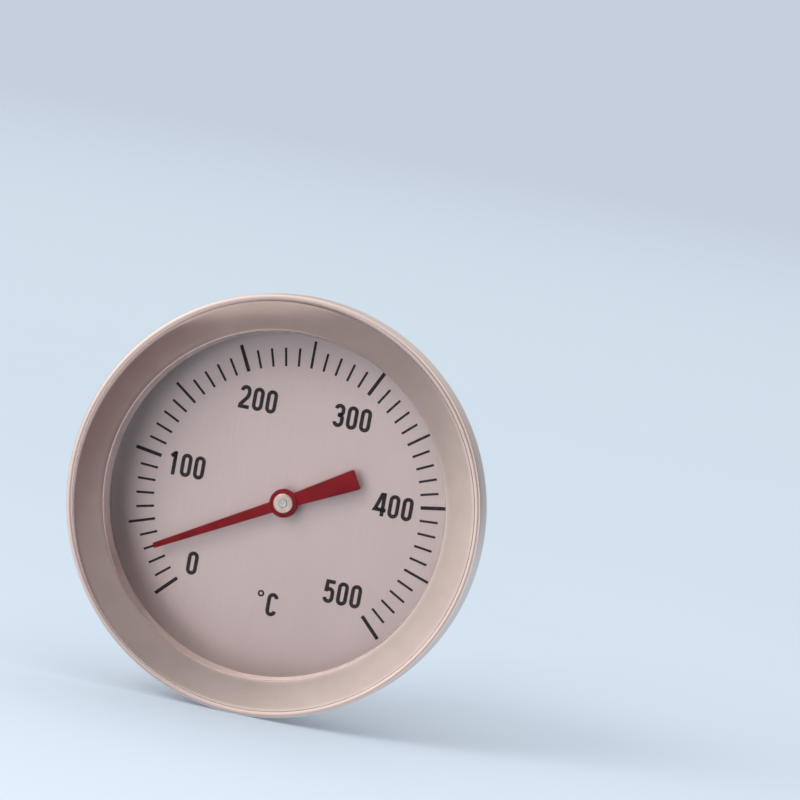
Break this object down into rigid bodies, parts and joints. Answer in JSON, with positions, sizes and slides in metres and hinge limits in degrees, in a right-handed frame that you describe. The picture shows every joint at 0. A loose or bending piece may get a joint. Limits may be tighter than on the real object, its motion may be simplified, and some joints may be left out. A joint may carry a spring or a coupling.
{
  "type": "dial thermometer",
  "caption": "Round dial thermometer with a dished bezel, a pointer driven by a bimetal helix in the rear stem, and a threaded stud with a washer and nut for clamping in a panel.",
  "frame": {"origin": "on the axis, on the face of the rear boss that seats against a panel", "axes": "+Y along the stem, away from the dial; +Z towards the dial's twelve o'clock; +X towards three o'clock as seen from the front"},
  "size_m": [0.076, 0.1214, 0.076],
  "materials": {
    "polished_steel": "polished",
    "bezel_steel": "brushed",
    "clear_glass": "clear",
    "black_rubber": "matte",
    "dial_metal": "fine brushed",
    "inner_steel": "satin",
    "red_paint": "satin",
    "hub_metal": "turned",
    "brass": "turned",
    "bimetal": "rolled",
    "stem_steel": "satin",
    "stud_steel": "machined",
    "washer_steel": "punched and tumbled",
    "nut_steel": "polished",
    "fibre": "matte"
  },
  "bodies": {
    "case": {"case_shell": "polished_steel", "bezel_ring": "bezel_steel", "glass": "clear_glass", "glass_gasket": "black_rubber", "spacer_sleeve": "inner_steel", "dial_plate": "dial_metal", "upper_bearing": "brass", "spindle_guide": "brass", "bimetal_coil": "bimetal", "coil_anchor": "brass", "anchor_pin": "stem_steel", "stem_cap": "stem_steel", "stem_tube": "stem_steel", "threaded_stud": "stud_steel", "stud_seal": "fibre"},
    "pointer_set": {"pointer": "red_paint", "pointer_hub": "hub_metal", "spindle": "inner_steel", "coil_collar": "brass"},
    "washer": {"flat_washer": "washer_steel"},
    "nut": {"hex_nut": "nut_steel"}
  },
  "joints": [
    {"name": "pointer_turn", "type": "hinge", "parent": "case", "child": "pointer_set", "pos_m": [0, 0, 0], "axis": [0, 1, 0], "range_deg": [-16.2, 253.8], "stiffness_Nm_per_rad": 0.0008, "deforming": ["bimetal_coil"]},
    {"name": "washer_slide", "type": "slide", "parent": "case", "child": "washer", "axis": [0, 1, 0], "range_m": [-0.0052, 0.015]},
    {"name": "nut_spin", "type": "hinge", "parent": "washer", "child": "nut", "pos_m": [0, 0, 0], "axis": [0, 1, 0], "range_deg": [-1060, 3080]}
  ],
  "couplings": [
    {"joint": "washer_slide", "follows": "nut_spin", "m_per_rad": 0.00027852}
  ]
}
